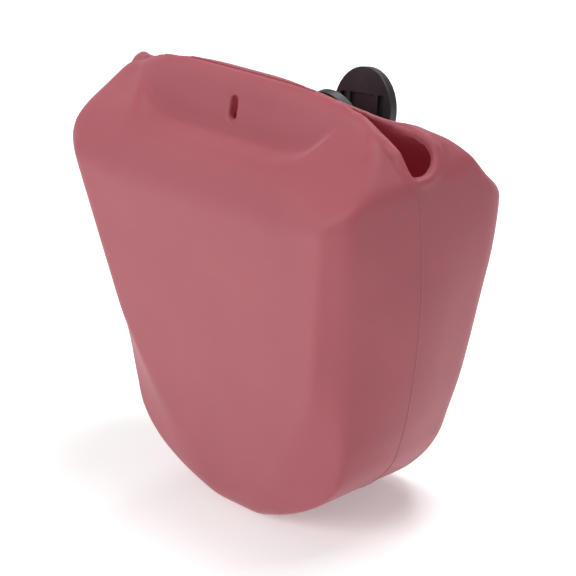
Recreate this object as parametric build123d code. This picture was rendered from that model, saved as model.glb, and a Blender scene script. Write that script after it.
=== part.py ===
from build123d import *
from collections import namedtuple
import os

# Treat pouch: a soft silicone pouch closed by magnets in its lips, with a sprung belt clip on its back.
# Millimetres. The origin is the centre of the flat bottom. +X is to the right seen from the front,
# -Y is the front, +Y is the clip side, +Z is up.

# ---- pouch walls ----
WALL = 2.2                # horizontal wall thickness of the silicone
SLOPE_LIFT = 2.0          # how far the lining of a sloping wall moves up or down to keep its thickness
MOUTH_GAP = 0.3           # gap between the closed front and rear lips
SPLIT_GAP = 0.3           # gap under the front lip, where the silicone folds
SPLIT_Z = 98.0            # height of the fold line of the front lip
SHELL_TOP = 121.0         # top of the lips
FACET_ROUND = 4.0         # corner radii of the plan outline
CHAMFER_ROUND = 8.0
SIDE_ROUND = 24.0
REAR_ROUND = 6.0

# Plan outline at one height: half widths of the front facet, of the chamfer beside it, of the side at
# the parting line and of the rear face; depth of the facet, of the chamfer edge and of the rear face.
# "round" scales the corner radii, "lift" moves the lining that belongs to this level.
Level = namedtuple("Level", "z facet chamfer side rear y_facet y_chamfer y_rear round lift")
BODY_LEVELS = [
    Level(0.0, 9.0, 12.0, 15.5, 14.0, -17.5, -15.5, 15.5, 0.4, SLOPE_LIFT),
    Level(2.0, 11.0, 17.0, 20.5, 19.0, -20.0, -18.5, 18.5, 0.5, SLOPE_LIFT),
    Level(18.0, 19.5, 34.5, 40.5, 37.0, -22.0, -19.5, 23.0, 0.8, SLOPE_LIFT),
    Level(34.0, 30.5, 43.5, 49.2, 45.3, -22.4, -17.6, 24.0, 1.0, 0.5 * SLOPE_LIFT),
    Level(49.5, 40.5, 47.6, 54.8, 51.0, -22.5, -17.0, 24.7, 1.0, 0.0),
    Level(76.0, 46.0, 52.5, 60.7, 60.0, -22.0, -16.8, 25.8, 1.0, 0.0),
    Level(96.0, 50.5, 56.5, 63.2, 66.0, -21.6, -16.6, 26.4, 1.0, -0.5 * SLOPE_LIFT),
]
ROOF_LEVELS = [
    Level(104.0, 49.5, 55.0, 61.8, 62.0, -20.8, -15.0, 19.5, 0.7, -SLOPE_LIFT),
    Level(112.0, 46.5, 50.5, 56.0, 54.0, -12.0, -8.0, 11.0, 0.4, -SLOPE_LIFT),
    Level(118.0, 43.0, 45.5, 48.0, 46.5, -5.2, -3.4, 4.8, 0.08, -SLOPE_LIFT),
    Level(SHELL_TOP, 34.0, 35.5, 36.5, 35.5, -2.4, -1.4, 2.4, 0.03, -SLOPE_LIFT),
]

# ---- mouth ----
NOTCH_X = 59.5            # centre of the round end of each teardrop notch
NOTCH_RADIUS = 5.0
NOTCH_TIP_X = 44.0        # where the teardrop closes into the lips
NOTCH_BOTTOM = 102.5
RECESS_HALF_WIDTH = 40.0  # scoop in the front of the front lip
RECESS_ROUND = 7.0
RECESS_CORNER = (-8.0, 107.0)       # (y, z) of the scoop's inner corner
RECESS_LIP = (-2.6, 119.6)          # (y, z) where the scoop's back wall meets the lip's edge
RECESS_CREST = (-20.5, 103.6)       # (y, z) where the scoop's ledge meets the front facet
LEDGE_WALL = 2.4
BAND_HALF_WIDTH = 41.0    # flat mating band inside each lip
BAND_BOTTOM = 106.0
BAND_THICKNESS = 3.2

# ---- magnets ----
MAGNET_RADIUS = 4.2
MAGNET_THICKNESS = 1.6
MAGNET_COVER = 0.6        # silicone between a magnet and the mating face
MAGNET_Z = 112.3
SLOT_WIDTH = 2.6          # window in the front lip that shows the magnet
SLOT_HEIGHT = 6.0

# ---- clip ----
RIVET_Z = 80.0
RIVET_RADIUS = 2.0
RIVET_HOLE_RADIUS = 2.05
RIVET_HEAD_RADIUS = 3.4
RIVET_HEAD_HEIGHT = 1.0
BOSS_RADIUS = 9.0
BOSS_INNER_Y = 22.0       # flat seats moulded inside and outside the rear wall
BOSS_OUTER_Y = 26.7
WASHER_RADIUS = 6.0
WASHER_THICKNESS = 0.9
CLIP_TURN = -5.0          # the clip rests turned a little about its rivet
PAD_RADIUS = 11.7
PLATE_THICKNESS = 2.6
BASE_Y = 27.0             # front face of the fixed arm
BASE_HALF_WIDTH = 8.5
BASE_PAD_Z = 94.6
CLIP_BOTTOM_Z = 36.0
HEAD_SEAT_DEPTH = 1.2     # counterbore for the rivet's outer head
PIN_Y = 32.9
PIN_Z = 69.0
PIN_RADIUS = 1.5
PIN_CLEARANCE = 0.06
EAR_RADIUS = 3.0
EAR_THICKNESS = 1.9
BASE_EAR_X = 6.5          # inner face of the fixed arm's ears
LEVER_Y = 35.8            # front face of the lever's straight part
LEVER_THICKNESS = 2.4
LEVER_HALF_WIDTH = 6.1
LEVER_EAR_X = 4.2
LEVER_BEND_Z = 86.5
LEVER_TILT = 18.0
LEVER_PAD_RISE = 11.5     # from the bend to the middle of the lever's pad, along the tilted plate
LEVER_ARCH_Z = 55.0       # below this the lever curves in to its jaw
JAW_Z = 41.0
JAW_GAP = 0.3
SPRING_RADIUS = 2.3
SPRING_WIRE = 0.8
SPRING_TURNS = 4.5        # the half turn brings both legs out on the same side
SPRING_PITCH = 1.25
SPRING_LEG = 9.0
PAD_SLOTS = ((-7.65, 2.4), (0.0, 10.4), (7.35, 2.5))     # (centre, width) of the recesses in the pad
PAD_SLOT_TOP = 4.4        # top of the recesses above the pad's middle
PAD_SLOT_LENGTH = 9.0
PAD_SLOT_DEPTH = 1.0

FAR = 200.0               # larger than the pouch, for half-space cutters


# ---------- pouch ----------

def outline(level, inset, z):
    """Plan outline of the pouch at a level, moved in by inset, as a face at height z."""
    right = [
        (level.facet - inset * 0.6, level.y_facet + inset),
        (level.chamfer - inset, level.y_chamfer + inset * 0.6),
        (level.side - inset, 0.0),
        (level.rear - inset, level.y_rear - inset),
    ]
    left = [(-x, y) for x, y in reversed(right)]
    radii = [FACET_ROUND, CHAMFER_ROUND, SIDE_ROUND, REAR_ROUND]
    scaled = [radius * level.round for radius in radii]
    border = FilletPolyline(*right, *left, radius=scaled + scaled[::-1], close=True)
    return make_face(border.edges()).moved(Location((0, 0, z)))


def outer_form():
    """The pouch's outside, filled, with no recess and no mouth."""
    faces = [outline(level, 0.0, level.z) for level in BODY_LEVELS + ROOF_LEVELS]
    return loft(faces, ruled=True)


def lining_form():
    """The space inside the walls."""
    faces = [outline(level, WALL, level.z + level.lift) for level in BODY_LEVELS + ROOF_LEVELS[:-1]]
    return loft(faces, ruled=True)


def box_between(low, high):
    """Axis-aligned box from its lowest to its highest corner."""
    size = [b - a for a, b in zip(low, high)]
    middle = [(a + b) / 2 for a, b in zip(low, high)]
    return Pos(*middle) * Box(*size)


def across_x(points, half_width):
    """Prism along X, centred on x = 0, with its profile given as (y, z) points."""
    profile = make_face(Polyline(*[(y, z) for y, z in points], close=True).edges())
    return extrude(Plane.YZ.offset(-half_width) * profile, amount=2 * half_width)


def notch_cutters():
    """Teardrop openings at both ends of the mouth, cut from above."""
    cutters = []
    for side in (1, -1):
        wide = NOTCH_RADIUS
        tip = NOTCH_TIP_X
        tail = make_face(Polyline((tip, 0), (NOTCH_X, -wide), (NOTCH_X, wide), close=True).edges())
        drop = tail + Pos(NOTCH_X, 0) * Circle(wide) + Pos(NOTCH_X + wide, 0) * Rectangle(2 * wide, 2 * wide)
        prism = extrude(Pos(0, 0, NOTCH_BOTTOM + wide) * drop, amount=SHELL_TOP)
        prism += Pos(NOTCH_X, 0, NOTCH_BOTTOM + wide) * Rot(0, 90, 0) * Cylinder(wide, 4 * wide)
        cutters.append(prism if side == 1 else mirror(prism, Plane.YZ))
    return cutters


def recess_form(grow):
    """The scoop in front of the front lip, or that scoop grown by a wall's thickness."""
    corner_y, corner_z = RECESS_CORNER
    lip_y, lip_z = RECESS_LIP
    crest_y, crest_z = RECESS_CREST
    slope = (crest_z - corner_z) / (crest_y - corner_y)
    front_y = crest_y - BOSS_RADIUS
    front_z = crest_z + slope * (front_y - crest_y)
    rise = (lip_y - corner_y) / (lip_z - corner_z)
    high = SHELL_TOP + BOSS_RADIUS
    points = [
        (corner_y + grow, corner_z - grow),
        (lip_y + rise * (high - lip_z) + grow, high),
        (front_y, high),
        (front_y, front_z - grow),
    ]
    prism = across_x(points, RECESS_HALF_WIDTH + grow)
    upright = [edge for edge in prism.edges() if abs((edge % 0.5).X) < 0.1 and edge.center().Y > crest_y]
    ends = [edge for edge in upright if abs(edge.center().X) > RECESS_HALF_WIDTH - 1]
    return fillet(ends, RECESS_ROUND)


def mating_bands():
    """Flat bands that carry the magnets, front and rear, one solid across the mouth."""
    return box_between(
        (-BAND_HALF_WIDTH, -BAND_THICKNESS, BAND_BOTTOM), (BAND_HALF_WIDTH, BAND_THICKNESS, SHELL_TOP)
    )


def magnet_form(side):
    """Disc magnet behind the mating face; side is -1 in the front lip and 1 in the rear."""
    y = side * (MOUTH_GAP / 2 + MAGNET_COVER + MAGNET_THICKNESS / 2)
    return Pos(0, y, MAGNET_Z) * Rot(90, 0, 0) * Cylinder(MAGNET_RADIUS, MAGNET_THICKNESS)


def front_space(gap):
    """The half space of the front lip: in front of the mouth and above the fold line."""
    return box_between((-FAR, -FAR, SPLIT_Z + gap), (FAR, -MOUTH_GAP / 2, FAR))


def boss_form():
    """Flat round seat for the clip, inside and outside the rear wall."""
    middle = (BOSS_INNER_Y + BOSS_OUTER_Y) / 2
    return Pos(0, middle, RIVET_Z) * Rot(90, 0, 0) * Cylinder(BOSS_RADIUS, BOSS_OUTER_Y - BOSS_INNER_Y)


def rivet_bore(radius):
    """A long cylinder on the rivet's axis."""
    return Pos(0, BOSS_OUTER_Y, RIVET_Z) * Rot(90, 0, 0) * Cylinder(radius, FAR / 4)


def pouch_shell(outer, lining):
    """The whole moulding behind and below the front lip."""
    band = mating_bands() & outer
    hollow = lining - band
    shell = outer - hollow + boss_form()
    shell -= box_between((-FAR, -FAR, SPLIT_Z), (FAR, MOUTH_GAP / 2, FAR))
    for cutter in notch_cutters():
        shell -= cutter
    shell -= magnet_form(1)
    return shell - rivet_bore(RIVET_HOLE_RADIUS)


def front_lip(outer, lining):
    """The front of the mouth, which folds forward to open the pouch."""
    backing = recess_form(LEDGE_WALL) + mating_bands()
    lip = (outer & front_space(SPLIT_GAP)) - recess_form(0.0)
    lip -= lining - backing
    for cutter in notch_cutters():
        lip -= cutter
    lip -= magnet_form(-1)
    window = box_between(
        (-SLOT_WIDTH / 2, -FAR, MAGNET_Z - SLOT_HEIGHT / 2), (SLOT_WIDTH / 2, 0, MAGNET_Z + SLOT_HEIGHT / 2)
    )
    window &= box_between((-FAR, -FAR, 0), (FAR, -(MOUTH_GAP / 2 + MAGNET_COVER + MAGNET_THICKNESS), FAR))
    return lip - window


# ---------- clip ----------

def turned(part):
    """Turn a clip part about the rivet to its resting angle."""
    return Pos(0, 0, RIVET_Z) * Rot(0, CLIP_TURN, 0) * Pos(0, 0, -RIVET_Z) * part


def rivet():
    """Tubular rivet with a head on each side."""
    outer_seat = BASE_Y + PLATE_THICKNESS - HEAD_SEAT_DEPTH + 0.1
    inner_seat = BOSS_INNER_Y - WASHER_THICKNESS
    length = outer_seat - inner_seat
    axis = Pos(0, (outer_seat + inner_seat) / 2, RIVET_Z) * Rot(90, 0, 0)
    body = axis * Cylinder(RIVET_RADIUS, length)
    for y in (outer_seat + RIVET_HEAD_HEIGHT / 2, inner_seat - RIVET_HEAD_HEIGHT / 2):
        head = Pos(0, y, RIVET_Z) * Rot(90, 0, 0) * Cylinder(RIVET_HEAD_RADIUS, RIVET_HEAD_HEIGHT)
        body += head
    return body


def rivet_washer():
    """Metal washer that spreads the rivet's load inside the pouch."""
    y = BOSS_INNER_Y - WASHER_THICKNESS / 2
    ring = Cylinder(WASHER_RADIUS, WASHER_THICKNESS) - Cylinder(RIVET_HOLE_RADIUS, WASHER_THICKNESS)
    return Pos(0, y, RIVET_Z) * Rot(90, 0, 0) * ring


def plate_outline(half_width, pad_z, low_z):
    """Front view of an arm: a round finger pad on a straight strip with a rounded end."""
    strip_low = low_z + half_width / 2
    strip = Pos(0, (pad_z + strip_low) / 2) * Rectangle(2 * half_width, pad_z - strip_low)
    end = Pos(0, strip_low) * Ellipse(half_width, half_width / 2)
    return Pos(0, pad_z) * Circle(PAD_RADIUS) + strip + end


def pin_cylinder(radius, x_low, x_high):
    """A cylinder on the clip's hinge axis."""
    return Pos((x_low + x_high) / 2, PIN_Y, PIN_Z) * Rot(0, 90, 0) * Cylinder(radius, x_high - x_low)


def ear(x_low, x_high, root_y):
    """Hinge ear: a round end on the pin's axis, joined to the plate at root_y."""
    low_y = min(root_y, PIN_Y)
    high_y = max(root_y, PIN_Y)
    neck = box_between((x_low, low_y, PIN_Z - EAR_RADIUS), (x_high, high_y, PIN_Z + EAR_RADIUS))
    return neck + pin_cylinder(EAR_RADIUS, x_low, x_high)


def clip_base():
    """Fixed arm of the clip, which turns on the rivet."""
    rear_y = BASE_Y + PLATE_THICKNESS
    shape = plate_outline(BASE_HALF_WIDTH, BASE_PAD_Z, CLIP_BOTTOM_Z)
    arm = extrude(Plane.XZ.offset(-rear_y) * shape, amount=PLATE_THICKNESS)
    for x_low in (BASE_EAR_X, -BASE_EAR_X - EAR_THICKNESS):
        arm += ear(x_low, x_low + EAR_THICKNESS, rear_y - 0.5)
    arm -= pin_cylinder(PIN_RADIUS, -FAR, FAR)
    seat = Pos(0, rear_y, RIVET_Z) * Rot(90, 0, 0) * Cylinder(RIVET_HEAD_RADIUS + 0.3, 2 * HEAD_SEAT_DEPTH)
    arm -= seat
    return turned(arm - rivet_bore(RIVET_HOLE_RADIUS))


def lever_profile():
    """Side view of the lever as a closed (y, z) outline: jaw, arch, straight part and tilted pad."""
    base_rear = BASE_Y + PLATE_THICKNESS
    with BuildLine() as centre:
        jaw = (base_rear + JAW_GAP + LEVER_THICKNESS / 2, JAW_Z)
        foot = (base_rear + JAW_GAP + LEVER_THICKNESS, CLIP_BOTTOM_Z)
        straight_y = LEVER_Y + LEVER_THICKNESS / 2
        top = Vector(straight_y, LEVER_BEND_Z)
        reach = LEVER_PAD_RISE + PAD_RADIUS
        pad_end = top + Vector(0, reach).rotate(Axis.Z, -LEVER_TILT)
        FilletPolyline(foot, jaw, (straight_y, LEVER_ARCH_Z), top, pad_end, radius=[2.0, 8.0, 12.0])
    return centre.line


def lever_plate():
    """The lever's bent strip, as wide as its pad."""
    path = Plane.YZ * lever_profile()
    start = Plane(origin=path @ 0, z_dir=path % 0, x_dir=(1, 0, 0))
    return sweep(start * Rectangle(2 * PAD_RADIUS, LEVER_THICKNESS), path=path, transition=Transition.RIGHT)


def clip_lever():
    """Moving arm of the clip."""
    pad_z = LEVER_BEND_Z + LEVER_PAD_RISE
    trim = extrude(Plane.XZ.offset(-FAR) * plate_outline(LEVER_HALF_WIDTH, pad_z, CLIP_BOTTOM_Z), amount=FAR)
    tilt = Pos(0, LEVER_Y, LEVER_BEND_Z) * Rot(-LEVER_TILT, 0, 0) * Pos(0, -LEVER_Y, -LEVER_BEND_Z)
    above = box_between((-FAR, -FAR, LEVER_BEND_Z), (FAR, FAR, FAR))
    below = box_between((-FAR, -FAR, -FAR), (FAR, FAR, LEVER_BEND_Z))
    plate = lever_plate()
    lever = (plate & below & trim) + (plate & above & (tilt * trim))
    for x_low in (LEVER_EAR_X, -LEVER_HALF_WIDTH):
        lever += ear(x_low, x_low + LEVER_HALF_WIDTH - LEVER_EAR_X, LEVER_Y + 0.5)
    lever -= pin_cylinder(PIN_RADIUS + PIN_CLEARANCE, -FAR, FAR)
    for centre, width in PAD_SLOTS:
        top = pad_z + PAD_SLOT_TOP
        pocket = box_between(
            (centre - width / 2, LEVER_Y - 1, top - PAD_SLOT_LENGTH),
            (centre + width / 2, LEVER_Y + PAD_SLOT_DEPTH, top),
        )
        lever -= tilt * pocket
    return turned(lever)


def clip_pin():
    """Steel hinge pin across both arms."""
    reach = BASE_EAR_X + EAR_THICKNESS
    return turned(pin_cylinder(PIN_RADIUS, -reach, reach))


def clip_spring():
    """Torsion spring on the pin, with one leg against each arm."""
    length = SPRING_TURNS * SPRING_PITCH
    frame = Plane(origin=(-length / 2, PIN_Y, PIN_Z), x_dir=(0, -1, 0), z_dir=(1, 0, 0))
    coil = frame.from_local_coords(Helix(pitch=SPRING_PITCH, height=length, radius=SPRING_RADIUS))
    wire = Circle(SPRING_WIRE / 2)
    start = Plane(origin=coil @ 0, z_dir=-(coil % 0))
    end = Plane(origin=coil @ 1, z_dir=coil % 1)
    spring = sweep(start * wire, path=coil, is_frenet=True)
    spring += extrude(start * wire, amount=SPRING_LEG)
    spring += extrude(end * wire, amount=SPRING_LEG)
    return turned(spring)


def write(node, part):
    """Write one node as a STEP file."""
    part.label = node
    export_step(part, os.path.join("parts", node + ".step"))


def main():
    os.makedirs("parts", exist_ok=True)
    outer = outer_form()
    lining = lining_form()
    write("pouch_shell", pouch_shell(outer, lining))
    write("front_lip", front_lip(outer, lining))
    write("front_magnet", magnet_form(-1))
    write("rear_magnet", magnet_form(1))
    write("clip_rivet", rivet())
    write("rivet_washer", rivet_washer())
    write("clip_base", clip_base())
    write("clip_lever", clip_lever())
    write("clip_pin", clip_pin())
    write("clip_spring", clip_spring())


main()
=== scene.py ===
import math

import bmesh
import bpy
import numpy as np
from mathutils import Matrix, Vector


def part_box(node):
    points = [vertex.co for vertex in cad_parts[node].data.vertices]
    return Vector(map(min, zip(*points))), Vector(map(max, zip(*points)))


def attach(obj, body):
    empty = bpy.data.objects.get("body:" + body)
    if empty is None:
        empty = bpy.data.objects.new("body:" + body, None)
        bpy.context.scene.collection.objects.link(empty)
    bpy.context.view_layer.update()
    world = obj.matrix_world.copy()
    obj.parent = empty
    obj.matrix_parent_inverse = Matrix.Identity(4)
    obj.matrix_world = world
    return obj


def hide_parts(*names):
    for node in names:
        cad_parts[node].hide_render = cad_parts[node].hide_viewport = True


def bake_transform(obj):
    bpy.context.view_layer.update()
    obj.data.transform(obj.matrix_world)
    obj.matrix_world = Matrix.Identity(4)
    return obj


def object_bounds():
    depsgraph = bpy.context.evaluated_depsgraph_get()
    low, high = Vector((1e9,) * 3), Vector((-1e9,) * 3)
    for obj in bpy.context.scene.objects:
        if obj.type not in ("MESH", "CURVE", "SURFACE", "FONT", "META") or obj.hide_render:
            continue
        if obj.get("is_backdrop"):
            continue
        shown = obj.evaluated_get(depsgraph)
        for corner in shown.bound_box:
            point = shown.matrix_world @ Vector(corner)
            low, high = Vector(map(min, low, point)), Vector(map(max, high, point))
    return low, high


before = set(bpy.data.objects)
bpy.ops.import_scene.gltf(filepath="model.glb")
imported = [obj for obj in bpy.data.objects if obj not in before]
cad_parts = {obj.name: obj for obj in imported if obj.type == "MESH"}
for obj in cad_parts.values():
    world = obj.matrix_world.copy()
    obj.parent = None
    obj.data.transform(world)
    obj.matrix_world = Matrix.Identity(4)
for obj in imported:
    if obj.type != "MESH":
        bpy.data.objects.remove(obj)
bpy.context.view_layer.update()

# The silicone is worked out as a distance field in millimetres, in the frame's axes, and meshed from it.
MM = 0.001
VOXEL = 0.75   # spacing of the field's grid
MARGIN = 3.0                          # the grid reaches this far past the pouch
FAR = 50.0                            # a distance larger than any that matters
MIN_SLOPE = 0.5                       # least slope of a field that is divided by its slope
SETTLE_ROUNDS = 3
SETTLE_STEP = 0.7                     # part of the way to the zero level that a vertex moves in one round
SETTLE_LIMIT = 0.3                    # most that it moves in one round, in grid steps

# ---- places read from the frame ----
shell_low, shell_high = (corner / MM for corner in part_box("pouch_shell"))
magnet_low, magnet_high = (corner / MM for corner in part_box("front_magnet"))
LIP_TOP = shell_high.z
SLOT_Z = (magnet_low.z + magnet_high.z) / 2
MAGNET_FRONT_Y = magnet_low.y

# ---- plan outline: half widths and depths of its corners at each of these heights ----
HEIGHTS = [0.0, 3.0, 6.0, 10.0, 14.0, 19.0, 28.0, 38.0, 49.0, 63.0, 78.0, 92.0, 102.0]
FACET_X = [5.0, 9.0, 13.0, 16.5, 19.0, 22.2, 28.0, 34.0, 39.3, 43.1, 46.6, 50.0, 52.5]
CHAMFER_X = [8.0, 13.0, 20.5, 28.8, 35.2, 40.4, 44.0, 45.4, 47.0, 49.9, 53.5, 56.6, 58.4]
SIDE_X = [12.0, 20.0, 26.0, 32.5, 37.5, 42.3, 47.4, 51.5, 55.0, 58.8, 61.6, 63.1, 63.8]
REAR_X = [12.0, 22.5, 27.5, 31.8, 35.4, 38.6, 42.8, 47.6, 51.9, 56.9, 62.5, 66.3, 67.6]
FACET_Y = [-20.0, -21.9, -22.8, -23.1, -23.1, -23.0, -22.8, -22.6, -22.5, -22.5, -22.5, -22.5, -22.5]
CHAMFER_Y = [-19.5, -20.5, -21.2, -21.3, -20.8, -19.9, -18.4, -17.7, -17.4, -17.7, -18.3, -18.3, -17.3]
REAR_Y = [16.0, 19.0, 21.0, 22.0, 22.5, 23.2, 23.8, 24.2, 24.8, 25.6, 26.2, 26.5, 26.6]

# How soft each crease between neighbouring faces is, in millimetres.
FACET_SOFT = 0.8
CHAMFER_SOFT = 1.8
SIDE_SOFT = 5.0
REAR_SOFT = 7.0
BOTTOM_SOFT = 4.5
ROOF_SOFT = (6.0, 2.5)      # at the middle, and at the shoulders
ROOF_SOFT_X = (30.0, 52.0)
SHOULDER_SOFT = 2.0
LIP_TOP_SOFT = 1.0

WALL = 2.2                  # thickness of the silicone

# ---- roof: two slopes that meet at the lips ----
ROOF_FRONT = ((-22.3, 99.2), (-1.6, LIP_TOP))   # (y, z) where each slope starts and ends
ROOF_REAR = ((26.4, 96.5), (1.6, LIP_TOP))
FRONT_DROOP = 3.4           # how far the front lip droops at DROOP_X
DROOP_X = 42.0
FRONT_DROOP_EASE = 0.028    # in front of DROOP_Y the droop fades by this much per millimetre
DROOP_Y = -2.0
LEFT_SAG = 2.0              # the front lip hangs this much lower at its left end
LEFT_SAG_X = (30.0, 46.0)   # the sag grows between these
LEFT_SAG_Y = (0.0, 4.0)     # it fades out between these
LEFT_SAG_Z = (105.0, 110.0)  # and it grows from nothing between these heights
REAR_DROOP = 2.8            # how far the rear lip droops, from and to REAR_DROOP_X
REAR_DROOP_X = (8.0, 40.0)
REAR_END_RISE = 3.8         # how far its ends rise again, from and to REAR_END_X
REAR_END_X = (46.0, 60.0)
REAR_END_Y = (13.0, 21.0)   # the rise fades out between these

# ---- shoulders, beside the roof ----
NOTCH_X = 62.8              # a shoulder passes through this point of the parting plane
NOTCH_BOTTOM = 102.6
SHOULDER_NORMAL = Vector((0.736, -0.206, 0.645)).normalized()
REAR_SHOULDER_LIFT = 0.06   # how much fuller the shoulder is behind the parting, per millimetre
NOTCH_DIP = 1.5             # how far the shoulder dips beside the parting, within NOTCH_DIP_WIDTH
NOTCH_DIP_WIDTH = 2.5
NOTCH_DIP_Z = (NOTCH_BOTTOM - 2.0, NOTCH_BOTTOM + 4.0)

# ---- scoop in the front lip ----
RECESS_CORNER = (-7.6, 106.2)   # (y, z) of its inner corner
RECESS_LIP = (-2.7, 119.4)      # (y, z) where its back wall meets the lip's edge
RECESS_LEDGE_SLOPE = 0.1        # rise of its ledge towards the lip
RECESS_CORNER_X = 28.0          # the ramps at its two ends start here
RAMP_SLOPE = (0.42, 0.264)      # rise of a ramp along x and along y
RAMP_STEEPEN = 0.02             # how fast it steepens along x
RECESS_SOFT = 1.9               # softness of its inner corners
CREST_SOFT = 1.5                # and of the crest between it and the front

# ---- mouth ----
LIP_HALF_GAP = 0.1
LIP_EDGE_SOFT = 0.8
LIPS_PART_Z = 104.3         # the two lips are separate above this height
MOUTH_OPENS_X = 22.0        # the rear lip leaves the front lip here
MOUTH_END_X = 60.0          # and stands MOUTH_DEPTH behind it here
MOUTH_DEPTH = 8.8
MOUTH_CURVE = 1.3           # power of the curve between the two
NOTCH_ROUND = 8.0           # how round the bottom of the notch is
NOTCH_CUT_Z = 103.5         # the notch is cut from the rear half above this height
BAND_X = 41.0               # half width of the flat mating band inside each lip
BAND_BOTTOM = 106.0
BAND_THICKNESS = 3.2
BAND_SOFT = 1.0
SLOT_HALF_WIDTH = 1.3       # window in the scoop, in front of the magnet
SLOT_HALF_HEIGHT = 3.0
SLOT_SOFT = 1.0

# Middle of the rounded rim on the right, from the front lip round the notch to the rear lip: x, y, z, radius.
RIM = [
    (30.0, -1.3, 118.7, 0.5), (38.0, -1.3, 117.5, 0.9), (44.0, -1.2, 116.2, 1.1), (49.0, -1.0, 114.6, 1.2),
    (52.2, -0.7, 113.0, 1.2), (54.7, -0.7, 111.4, 1.25), (56.8, -0.8, 110.0, 1.25), (58.0, -0.9, 107.8, 1.25),
    (59.1, -1.0, 105.8, 1.25), (60.3, -0.7, 104.3, 1.25), (61.6, 0.4, 103.4, 1.25), (62.2, 2.2, 103.2, 1.25),
    (62.3, 4.4, 103.7, 1.25), (61.9, 6.6, 105.1, 1.25), (61.3, 8.0, 107.3, 1.25), (60.2, 8.6, 109.7, 1.25),
    (58.2, 8.3, 111.4, 1.25), (55.0, 7.4, 112.6, 1.2), (50.0, 6.0, 113.4, 1.1), (44.0, 4.8, 114.4, 0.95),
    (38.0, 3.6, 115.9, 0.8), (30.0, 2.4, 117.6, 0.6), (24.0, 2.0, 118.8, 0.4),
]
RIM_SOFT = 1.6              # softness of the corner between the rim and the wall
RIM_LOW_Z = 94.0            # the rim is worked out only above this height

# ---- fine raised line where the two halves of the mould met ----
PARTING_HALF_WIDTH = 0.35
PARTING_RISE = 0.2              # it stands this far proud
PARTING_TOP_Z = NOTCH_BOTTOM - 2.5
PARTING_FADE_Z = (0.5, 3.5)     # the line grows from nothing between these heights
PARTING_MIDDLE = Vector((0, 0, 60.0))   # a point inside the pouch, to tell its outer edge from its inner one
PLANE_TOLERANCE = 1e-4          # a vertex nearer to a cutting plane than this lies on it
FLAT_LENGTH = 0.2               # a normal with less than this in the plane belongs to the cut's own face

# ---- edges ----
SILICONE_SHARP = math.radians(50)       # edges sharper than this stay sharp in the shading
PLASTIC_SHARP = math.radians(35)        # and the plastic's are rounded as well
FLAT_ANGLE = math.radians(2)            # faces that turn less than this become one face
PLASTIC_EDGE = 0.35                     # radius of the plastic's moulded edges

# ---- stage, in metres ----
FLOOR_HALF_WIDTH = 12.0
FLOOR_GAP = 0.0002          # the floor lies this far under the pouch


def smooth_max(a, b, soft):
    """Maximum of two fields with a rounded corner."""
    h = np.maximum(soft - np.abs(a - b), 0.0)
    return np.maximum(a, b) + h * h / (4.0 * soft)


def smooth_min(a, b, soft):
    """Minimum of two fields with a rounded corner."""
    return -smooth_max(-a, -b, soft)


def by_height(z, values):
    """A smooth curve through the values given at HEIGHTS."""
    heights = np.array(HEIGHTS)
    values = np.array(values)
    slopes = np.gradient(values, heights)
    index = np.clip(np.searchsorted(heights, z) - 1, 0, len(heights) - 2)
    span = heights[index + 1] - heights[index]
    t = np.clip((z - heights[index]) / span, 0.0, 1.0)
    start = (2 * t**3 - 3 * t**2 + 1) * values[index] + (t**3 - 2 * t**2 + t) * span * slopes[index]
    end = (3 * t**2 - 2 * t**3) * values[index + 1] + (t**3 - t**2) * span * slopes[index + 1]
    return start + end


def edge_distance(x, y, x0, y0, x1, y1):
    """Signed distance to the line from one outline corner to the next, positive outside."""
    length = np.hypot(x1 - x0, y1 - y0)
    return ((y1 - y0) * (x - x0) - (x1 - x0) * (y - y0)) / length


def plane_through(low, high, y, z, outward):
    """Signed distance to a roof plane given by two (y, z) points."""
    direction = Vector((high[0] - low[0], high[1] - low[1])).normalized()
    return outward * ((y - low[0]) * direction[1] - (z - low[1]) * direction[0])


def ease(value, start, end):
    """From 0 at start to 1 at end, smooth at both."""
    t = np.clip((value - start) / (end - start), 0.0, 1.0)
    return t * t * (3.0 - 2.0 * t)


def left_sag(x, y, z):
    """How far the left end of the front lip hangs down."""
    return LEFT_SAG * ease(-x, *LEFT_SAG_X) * (1.0 - ease(y, *LEFT_SAG_Y)) * ease(z, *LEFT_SAG_Z)


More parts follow.
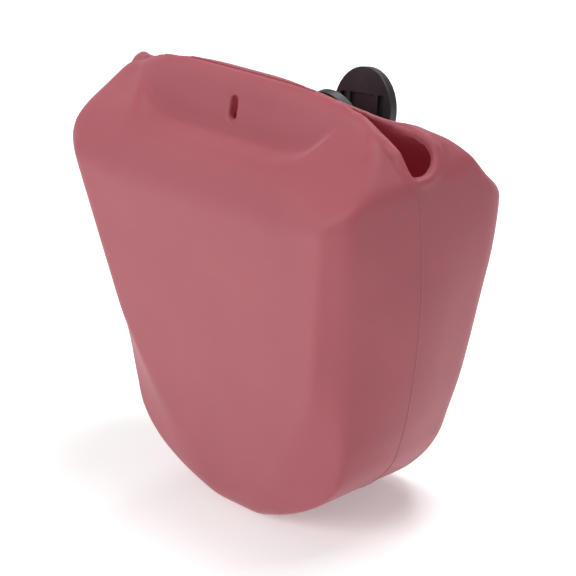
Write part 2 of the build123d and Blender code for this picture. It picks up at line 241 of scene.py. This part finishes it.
def body_field(x, y, z, side):
    """The outside of the pouch without recess or mouth; side is -1 for the front half, 1 for the rear."""
    # The walls, face by face round the plan outline, and the bottom.
    ax = np.abs(x)
    facet, chamfer = by_height(z, FACET_X), by_height(z, CHAMFER_X)
    flank, rear = by_height(z, SIDE_X), by_height(z, REAR_X)
    y_facet, y_chamfer, y_rear = by_height(z, FACET_Y), by_height(z, CHAMFER_Y), by_height(z, REAR_Y)
    d = smooth_max(y_facet - y, edge_distance(ax, y, facet, y_facet, chamfer, y_chamfer), FACET_SOFT)
    d = smooth_max(d, edge_distance(ax, y, chamfer, y_chamfer, flank, 0.0), CHAMFER_SOFT)
    d = smooth_max(d, edge_distance(ax, y, flank, 0.0, rear, y_rear), SIDE_SOFT)
    d = smooth_max(d, y - y_rear, REAR_SOFT)
    d = smooth_max(d, -z, BOTTOM_SOFT)
    # The roof, which droops towards the ends of the lips.
    if side < 0:
        fade = 1.0 + FRONT_DROOP_EASE * np.minimum(y - DROOP_Y, 0.0)
        droop = FRONT_DROOP * (ax / DROOP_X) ** 2 * fade
        roof = plane_through(*ROOF_FRONT, y, z + droop + left_sag(x, y, z), -1.0)
    else:
        rise = REAR_END_RISE * ease(ax, *REAR_END_X) * (1.0 - ease(y, *REAR_END_Y))
        droop = REAR_DROOP * ease(ax, *REAR_DROOP_X) - rise
        roof = plane_through(*ROOF_REAR, y, z + droop, 1.0)
    soft = ROOF_SOFT[0] + (ROOF_SOFT[1] - ROOF_SOFT[0]) * ease(ax, *ROOF_SOFT_X)
    d = smooth_max(d, roof, soft)
    d = smooth_max(d, z - LIP_TOP, LIP_TOP_SOFT)
    # The two shoulders.
    n = SHOULDER_NORMAL
    shoulder = n.x * (ax - NOTCH_X) + n.y * y + n.z * (z - NOTCH_BOTTOM)
    shoulder = shoulder - REAR_SHOULDER_LIFT * np.maximum(y, 0.0)
    near_parting = np.exp(-((y / NOTCH_DIP_WIDTH) ** 2))
    shoulder = shoulder + NOTCH_DIP * near_parting * ease(z, *NOTCH_DIP_Z)
    return smooth_max(d, shoulder, SHOULDER_SOFT)


def recess_field(x, y, z):
    """The scoop in front of the front lip, negative inside."""
    corner_y, corner_z = RECESS_CORNER
    lip_y, lip_z = RECESS_LIP
    along = Vector((lip_y - corner_y, lip_z - corner_z)).normalized()
    back = (y - corner_y) * along[1] - (z - corner_z) * along[0]
    ledge_z = corner_z + RECESS_LEDGE_SLOPE * (y - corner_y)
    ledge = (ledge_z - z) / math.hypot(1.0, RECESS_LEDGE_SLOPE)
    run = np.abs(x) - RECESS_CORNER_X
    along_x, along_y = RAMP_SLOPE
    ramp_z = corner_z + along_x * run + RAMP_STEEPEN * np.maximum(run, 0.0) ** 2 + along_y * (y - corner_y)
    ramp = (ramp_z - z) / math.hypot(1.0, along_x, along_y)
    floor = smooth_max(ledge, ramp, 2 * RECESS_SOFT)
    return smooth_max(back, floor, RECESS_SOFT)


def mouth_line(x):
    """How far the rear lip stands behind the closed mouth at x."""
    t = np.clip((np.abs(x) - MOUTH_OPENS_X) / (MOUTH_END_X - MOUTH_OPENS_X), 0.0, 1.0)
    return MOUTH_DEPTH * t**MOUTH_CURVE


def rim_field(x, y, z):
    """Signed distance to the rounded rim, a tube of changing radius on both sides."""
    ax = np.abs(x)
    z = z + left_sag(x, y, z)
    best = np.full(np.broadcast_shapes(x.shape, y.shape, z.shape), FAR)
    for start, end in zip(RIM, RIM[1:]):
        step = np.subtract(end[:3], start[:3])
        px, py, pz = ax - start[0], y - start[1], z - start[2]
        t = np.clip((px * step[0] + py * step[1] + pz * step[2]) / (step @ step), 0.0, 1.0)
        gap = np.sqrt((px - t * step[0]) ** 2 + (py - t * step[1]) ** 2 + (pz - t * step[2]) ** 2)
        best = np.minimum(best, gap - (start[3] + t * (end[3] - start[3])))
    return best


def mating_band(x, y, z, lip_y, side, outer):
    """The flat band inside a lip, which meets the band of the other lip."""
    middle = lip_y + side * (LIP_HALF_GAP + BAND_THICKNESS / 2)
    band = np.maximum(np.abs(y - middle) - BAND_THICKNESS / 2, np.abs(x) - BAND_X)
    band = np.maximum(band, BAND_BOTTOM - z)
    return np.maximum(band, outer)


def magnet_window(x, y, z):
    """The small upright window in front of the magnet, as deep as the magnet's face."""
    past_end = np.maximum(np.abs(z - SLOT_Z) - (SLOT_HALF_HEIGHT - SLOT_HALF_WIDTH), 0.0)
    return np.maximum(np.hypot(x, past_end) - SLOT_HALF_WIDTH, y - MAGNET_FRONT_Y)


def unit_gradient(field, step):
    """Divide a field by the length of its gradient, so that offsets keep their thickness."""
    gx, gy, gz = np.gradient(field, step)
    length = np.sqrt(gx * gx + gy * gy + gz * gz)
    return field / np.maximum(length, MIN_SLOPE)


def surface_net(field, origin, step):
    """Closed quad mesh on the zero level of a field: one vertex in each cell that it crosses."""
    inside = field < 0
    shape = tuple(n - 1 for n in field.shape)
    count = np.zeros(shape)
    total = np.zeros(shape + (3,))
    corners = [(i, j, k) for i in (0, 1) for j in (0, 1) for k in (0, 1)]

    def at_corner(corner):
        return tuple(slice(corner[a], corner[a] + shape[a]) for a in range(3))

    for first in corners:
        for axis in range(3):
            if first[axis]:
                continue
            second = tuple(1 if a == axis else first[a] for a in range(3))
            fa, fb = field[at_corner(first)], field[at_corner(second)]
            crossed = inside[at_corner(first)] != inside[at_corner(second)]
            t = np.where(crossed, fa / np.where(crossed, fa - fb, 1.0), 0.0)
            for a in range(3):
                total[..., a] += np.where(crossed, first[a] + (t if a == axis else 0.0), 0.0)
            count += crossed
    used = count > 0
    number = np.full(shape, -1)
    number[used] = np.arange(used.sum())
    cells = np.argwhere(used)
    points = np.array(origin) + step * (cells + total[used] / count[used][:, None])
    quads = []
    for axis in range(3):
        b, c = [(1, 2), (2, 0), (0, 1)][axis]
        low = [slice(1, -1)] * 3
        low[axis] = slice(0, -1)
        high = list(low)
        high[axis] = slice(1, None)
        start = inside[tuple(low)]
        change = start != inside[tuple(high)]
        at = np.argwhere(change) + 1
        at[:, axis] -= 1
        ring = []
        for db, dc in ((-1, -1), (0, -1), (0, 0), (-1, 0)):
            cell = at.copy()
            cell[:, b] += db
            cell[:, c] += dc
            ring.append(number[tuple(cell.T)])
        ring = np.array(ring).T
        flip = ~start[change]
        ring[flip] = ring[flip][:, ::-1]
        quads.append(ring)
    return points, np.concatenate(quads)


def sample(field, origin, step, points):
    """Trilinear value of a field at points."""
    local = (points - np.array(origin)) / step
    base = np.clip(np.floor(local).astype(int), 0, np.array(field.shape) - 2)
    f = local - base
    value = np.zeros(len(points))
    for i in (0, 1):
        for j in (0, 1):
            for k in (0, 1):
                weight = np.abs(1 - i - f[:, 0]) * np.abs(1 - j - f[:, 1]) * np.abs(1 - k - f[:, 2])
                value += weight * field[base[:, 0] + i, base[:, 1] + j, base[:, 2] + k]
    return value


def settle_on(field, origin, step, points):
    """Move points onto the zero level."""
    h = step / 2
    for _ in range(SETTLE_ROUNDS):
        value = sample(field, origin, step, points)
        slope = np.stack(
            [
                (sample(field, origin, step, points + d) - sample(field, origin, step, points - d)) / (2 * h)
                for d in np.eye(3) * h
            ],
            axis=1,
        )
        size = np.maximum((slope**2).sum(1), MIN_SLOPE**2)
        shift = -SETTLE_STEP * value / size
        points = points + slope * np.clip(shift, -SETTLE_LIMIT * step, SETTLE_LIMIT * step)[:, None]
    return points


def grid(low, high):
    """The x, y and z of a grid between two corners, and its first corner."""
    axes = [np.arange(a, b + VOXEL, VOXEL) for a, b in zip(low, high)]
    return np.meshgrid(*axes, indexing="ij", sparse=True), low


def silicone(side):
    """Field of the front (-1) or rear (1) half, field of its outside alone, and the grid's first corner."""
    y_low, y_high = (shell_low.y - MARGIN, MARGIN) if side < 0 else (-MARGIN, shell_high.y + MARGIN)
    half = shell_high.x + MARGIN
    (x, y, z), origin = grid((-half, y_low, shell_low.z - MARGIN), (half, y_high, shell_high.z + MARGIN))

    # The outside, with the scoop.
    outer = unit_gradient(body_field(x, y, z, side), VOXEL)
    if side < 0:
        outer = smooth_max(outer, -recess_field(x, y, z), CREST_SOFT)
        outer = unit_gradient(outer, VOXEL)

    # The wall, the mating band, the notch and the rounded rim round it.
    shell = np.maximum(outer, -(outer + WALL))
    lip_y = mouth_line(x) if side > 0 else 0.0
    field = smooth_min(shell, mating_band(x, y, z, lip_y, side, outer), BAND_SOFT)
    if side > 0:
        notch = smooth_max(y - lip_y, NOTCH_CUT_Z - z, NOTCH_ROUND)
        field = smooth_max(field, -notch, LIP_EDGE_SOFT)
    top = z.ravel() > RIM_LOW_Z
    field[..., top] = smooth_min(field[..., top], rim_field(x, y, z[..., top]), RIM_SOFT)

    # Only this half, which is cut exactly at the parting plane later where the lips don't part.
    own_side = np.minimum(LIP_HALF_GAP - side * y, z - LIPS_PART_Z)
    field = smooth_max(field, own_side, LIP_EDGE_SOFT)
    if side < 0:
        field = smooth_max(field, -magnet_window(x, y, z), SLOT_SOFT)
    return field, outer, origin


def cut_at_parting(bm, side):
    """Cut the mesh at the parting plane and close it, with a row of edges beside the cut."""
    for y in (PARTING_HALF_WIDTH, 0.0):
        geometry = bm.verts[:] + bm.edges[:] + bm.faces[:]
        bmesh.ops.bisect_plane(
            bm, geom=geometry, dist=PLANE_TOLERANCE, plane_co=(0, side * y, 0), plane_no=(0, -side, 0),
            clear_outer=(y == 0.0),
        )
    border = [e for e in bm.edges if e.is_boundary]
    bmesh.ops.triangle_fill(bm, use_beauty=True, edges=border, normal=(0, -side, 0))


def raise_parting(bm):
    """Raise the outer edge of the cut into the fine parting line."""
    start, end = PARTING_FADE_Z
    for v in bm.verts:
        if abs(v.co.y) >= 10 * PLANE_TOLERANCE or v.co.z >= PARTING_TOP_Z:
            continue
        out = Vector((v.normal.x, 0, v.normal.z))
        if out.length < FLAT_LENGTH:
            continue
        out.normalize()
        if out.dot(Vector((v.co.x, 0, v.co.z)) - PARTING_MIDDLE) < 0:
            continue
        fade = min(max((v.co.z - start) / (end - start), 0.0), 1.0)
        v.co += out * PARTING_RISE * fade


def silicone_half(name, side):
    """The mesh piece of one half; its inner faces take the second material, which has the painted red glow.
    """
    field, outer, origin = silicone(side)
    points, quads = surface_net(field, origin, VOXEL)
    points = settle_on(field, origin, VOXEL, points)
    mesh = bpy.data.meshes.new(name)
    mesh.from_pydata(points.tolist(), [], quads.tolist())
    bm = bmesh.new()
    bm.from_mesh(mesh)
    cut_at_parting(bm, side)
    raise_parting(bm)
    bmesh.ops.recalc_face_normals(bm, faces=bm.faces[:])
    bm.to_mesh(mesh)
    bm.free()
    centres = np.empty(3 * len(mesh.polygons))
    mesh.polygons.foreach_get("center", centres)
    # Faces inside the wall are marked for the second material, whose emission is a painted red glow.
    inside = sample(outer, origin, VOXEL, centres.reshape(-1, 3)) < -WALL / 2
    mesh.polygons.foreach_set("material_index", inside.astype(np.int32))
    mesh.transform(Matrix.Scale(MM, 4))
    mesh.shade_smooth()
    mesh.set_sharp_from_angle(angle=SILICONE_SHARP)
    piece = bpy.data.objects.new(name, mesh)
    bpy.context.scene.collection.objects.link(piece)
    return piece


def rounded_copy(node, name, radius):
    """A copy of a CAD node with the soft edges that a mould gives it."""
    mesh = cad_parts[node].data.copy()
    mesh.name = name
    piece = bpy.data.objects.new(name, mesh)
    bpy.context.scene.collection.objects.link(piece)
    bm = bmesh.new()
    bm.from_mesh(mesh)
    bmesh.ops.remove_doubles(bm, verts=bm.verts[:], dist=1e-6)
    bmesh.ops.dissolve_limit(bm, angle_limit=FLAT_ANGLE, verts=bm.verts[:], edges=bm.edges[:])
    bm.to_mesh(mesh)
    bm.free()
    bevel = piece.modifiers.new("edges", "BEVEL")
    bevel.width = radius
    bevel.segments = 3
    bevel.limit_method = "ANGLE"
    bevel.angle_limit = PLASTIC_SHARP
    mesh.shade_smooth()
    mesh.set_sharp_from_angle(angle=PLASTIC_SHARP)
    return piece


# ---------- materials ----------

def new_material(name):
    """A material with its node tree, its shader and the object's own coordinates."""
    material = bpy.data.materials.new(name)
    material.use_nodes = True
    tree = material.node_tree
    coords = tree.nodes.new("ShaderNodeTexCoord")
    return material, tree, tree.nodes["Principled BSDF"], coords


def noise(tree, scale, detail, coords):
    """Noise of a given scale per metre."""
    node = tree.nodes.new("ShaderNodeTexNoise")
    node.inputs["Scale"].default_value = scale
    node.inputs["Detail"].default_value = detail
    tree.links.new(coords.outputs["Object"], node.inputs["Vector"])
    return node.outputs["Fac"]


def colour_from(tree, shader, source, low, high, stops=(0.3, 0.7)):
    """Base colour between low and high, where source passes from one stop to the other."""
    node = tree.nodes.new("ShaderNodeValToRGB")
    node.color_ramp.elements[0].position = stops[0]
    node.color_ramp.elements[1].position = stops[1]
    node.color_ramp.elements[0].color = (*low, 1)
    node.color_ramp.elements[1].color = (*high, 1)
    tree.links.new(source, node.inputs["Fac"])
    tree.links.new(node.outputs["Color"], shader.inputs["Base Color"])


def roughness_from(tree, shader, source, low, high):
    """Roughness between low and high, as source goes from 0 to 1."""
    node = tree.nodes.new("ShaderNodeMapRange")
    node.inputs["To Min"].default_value = low
    node.inputs["To Max"].default_value = high
    tree.links.new(source, node.inputs["Value"])
    tree.links.new(node.outputs["Result"], shader.inputs["Roughness"])


def bump(tree, shader, source, strength, distance):
    """Fine relief, distance metres deep."""
    node = tree.nodes.new("ShaderNodeBump")
    node.inputs["Strength"].default_value = strength
    node.inputs["Distance"].default_value = distance
    tree.links.new(source, node.inputs["Height"])
    tree.links.new(node.outputs["Normal"], shader.inputs["Normal"])


def silicone_material(name, painted_glow):
    """Matte rose silicone; glow is a painted red glow, an emission that stands in for the light coming
    through the thin wall to its inside.
    """
    material, tree, shader, coords = new_material(name)
    cloud = noise(tree, 45.0, 3.0, coords)
    grain = noise(tree, 2600.0, 2.0, coords)
    colour_from(tree, shader, cloud, (0.305, 0.062, 0.081), (0.328, 0.070, 0.089))
    roughness_from(tree, shader, grain, 0.52, 0.62)
    bump(tree, shader, grain, strength=0.05, distance=0.0002)
    shader.inputs["Specular IOR Level"].default_value = 0.4
    shader.inputs["Sheen Weight"].default_value = 0.2
    shader.inputs["Sheen Roughness"].default_value = 0.5
    shader.inputs["Sheen Tint"].default_value = (1.0, 0.8, 0.85, 1.0)
    shader.inputs["Emission Color"].default_value = (1.0, 0.07, 0.12, 1.0)
    shader.inputs["Emission Strength"].default_value = painted_glow
    shader.inputs["Subsurface Weight"].default_value = 0.3
    shader.inputs["Subsurface Radius"].default_value = (1.0, 0.12, 0.16)
    shader.inputs["Subsurface Scale"].default_value = 0.004
    return material


def plastic_material():
    """Black plastic from a finely sparked mould."""
    material, tree, shader, coords = new_material("satin_black_plastic")
    grain = noise(tree, 3200.0, 2.0, coords)
    cloud = noise(tree, 160.0, 3.0, coords)
    colour_from(tree, shader, cloud, (0.016, 0.014, 0.018), (0.026, 0.022, 0.028))
    roughness_from(tree, shader, cloud, 0.32, 0.48)
    bump(tree, shader, grain, strength=0.08, distance=0.0001)
    return material


def metal_material(name, low, high, rough_low, rough_high):
    """Plain metal between two colours and two roughnesses."""
    material, tree, shader, coords = new_material(name)
    grain = noise(tree, 900.0, 4.0, coords)
    colour_from(tree, shader, grain, low, high, stops=(0.35, 0.65))
    roughness_from(tree, shader, grain, rough_low, rough_high)
    shader.inputs["Metallic"].default_value = 1.0
    bump(tree, shader, grain, strength=0.05, distance=0.00005)
    return material


def dress(piece, material):
    """Give a piece this material alone."""
    piece.data.materials.clear()
    piece.data.materials.append(material)


# ---------- stage ----------

def world_light():
    """Even white light from all round, and colours shown as they are."""
    scene = bpy.context.scene
    scene.view_settings.view_transform = "Standard"
    world = bpy.data.worlds.new("studio")
    scene.world = world
    world.use_nodes = True
    background = world.node_tree.nodes["Background"]
    background.inputs["Color"].default_value = (1.0, 1.0, 1.0, 1.0)
    background.inputs["Strength"].default_value = 0.33


def pale_floor():
    """A wide pale floor just under the pouch."""
    material, tree, shader, coords = new_material("pale_floor")
    cloud = noise(tree, 3.0, 2.0, coords)
    colour_from(tree, shader, cloud, (0.88, 0.88, 0.88), (0.91, 0.91, 0.91))
    shader.inputs["Roughness"].default_value = 0.9
    shader.inputs["Emission Color"].default_value = (1.0, 1.0, 1.0, 1.0)
    shader.inputs["Emission Strength"].default_value = 0.3
    mesh = bpy.data.meshes.new("floor")
    bm = bmesh.new()
    bmesh.ops.create_grid(bm, x_segments=1, y_segments=1, size=FLOOR_HALF_WIDTH)
    bm.to_mesh(mesh)
    bm.free()
    floor = bpy.data.objects.new("floor", mesh)
    floor.location.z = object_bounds()[0][2] - FLOOR_GAP
    bpy.context.scene.collection.objects.link(floor)
    dress(floor, material)
    floor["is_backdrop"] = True


def area_light(name, place, target, size, power):
    """A square light at place, turned to target."""
    data = bpy.data.lights.new(name, "AREA")
    data.size = size
    data.energy = power
    light = bpy.data.objects.new(name, data)
    light.location = place
    light.rotation_euler = (Vector(target) - Vector(place)).to_track_quat("-Z", "Y").to_euler()
    bpy.context.scene.collection.objects.link(light)


def camera(azimuth, elevation, roll, lens, distance, target):
    """The scene's camera; azimuth 0 looks along +Y, and a negative roll turns the picture anticlockwise."""
    a, e, r = (math.radians(v) for v in (azimuth, elevation, roll))
    back = Vector((math.sin(a) * math.cos(e), -math.cos(a) * math.cos(e), math.sin(e)))
    right = Vector((math.cos(a), math.sin(a), 0.0))
    up = back.cross(right)
    turned_right = math.cos(r) * right + math.sin(r) * up
    turned_up = -math.sin(r) * right + math.cos(r) * up
    data = bpy.data.cameras.new("camera")
    data.lens = lens
    data.clip_start = 0.01
    view = bpy.data.objects.new("camera", data)
    place = Vector(target) + back * distance
    rotation = Matrix((turned_right, turned_up, back)).transposed().to_4x4()
    view.matrix_world = Matrix.Translation(place) @ rotation
    bpy.context.scene.collection.objects.link(view)
    bpy.context.scene.camera = view


# ---------- the scene ----------

camera(
    azimuth=51.93, elevation=23.9, roll=-7.1, lens=142.0, distance=0.6087, target=(0.00336, 0.00272, 0.05914),
)
world_light()
pale_floor()
area_light("key", place=(-0.2, -0.95, 0.6), target=(0, 0, 0.06), size=0.6, power=7.2)
area_light("top", place=(0.2, 0.3, 1.1), target=(0, 0, 0.06), size=0.45, power=8.5)
area_light("back", place=(-0.45, 0.8, 0.8), target=(0, 0, 0.08), size=0.35, power=2.0)

# The silicone, in a front half and a rear half; the rear one goes with the pouch.
rose = silicone_material("silicone_rose", painted_glow=0.0)
# The inside material carries a painted red glow: an emission standing in for light through the wall.
inner_rose_painted_glow = silicone_material("silicone_rose_inside_painted_glow", painted_glow=0.07)
front = silicone_half("silicone_front", -1)
rear = silicone_half("silicone_rear", 1)
for piece in (front, rear):
    piece.data.materials.append(rose)
    piece.data.materials.append(inner_rose_painted_glow)
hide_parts("front_lip")
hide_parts("pouch_shell")
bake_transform(front)
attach(rear, "pouch")

# The clip's two arms, and the small metal parts, which keep their CAD shapes.
plastic = plastic_material()
steel = metal_material("zinc_plated_steel", (0.42, 0.42, 0.43), (0.55, 0.55, 0.56), 0.28, 0.42)
spring_steel = metal_material("drawn_spring_wire", (0.30, 0.30, 0.31), (0.45, 0.45, 0.46), 0.22, 0.34)
nickel = metal_material("nickel_plate", (0.45, 0.44, 0.43), (0.58, 0.57, 0.56), 0.2, 0.32)
for name, body in (("clip_base", "clip"), ("clip_lever", "lever")):
    moulded = rounded_copy(name, name + "_moulded", PLASTIC_EDGE * MM)
    dress(moulded, plastic)
    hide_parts(name)
    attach(moulded, body)
for name in ("clip_rivet", "rivet_washer", "clip_pin"):
    dress(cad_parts[name], steel)
for name in ("front_magnet", "rear_magnet"):
    dress(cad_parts[name], nickel)

# The spring, a smooth-shaded copy of its CAD mesh.
spring = bpy.data.objects.new("torsion_spring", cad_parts["clip_spring"].data.copy())
bpy.context.scene.collection.objects.link(spring)
spring.data.shade_smooth()
dress(spring, spring_steel)
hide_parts("clip_spring")
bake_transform(spring)
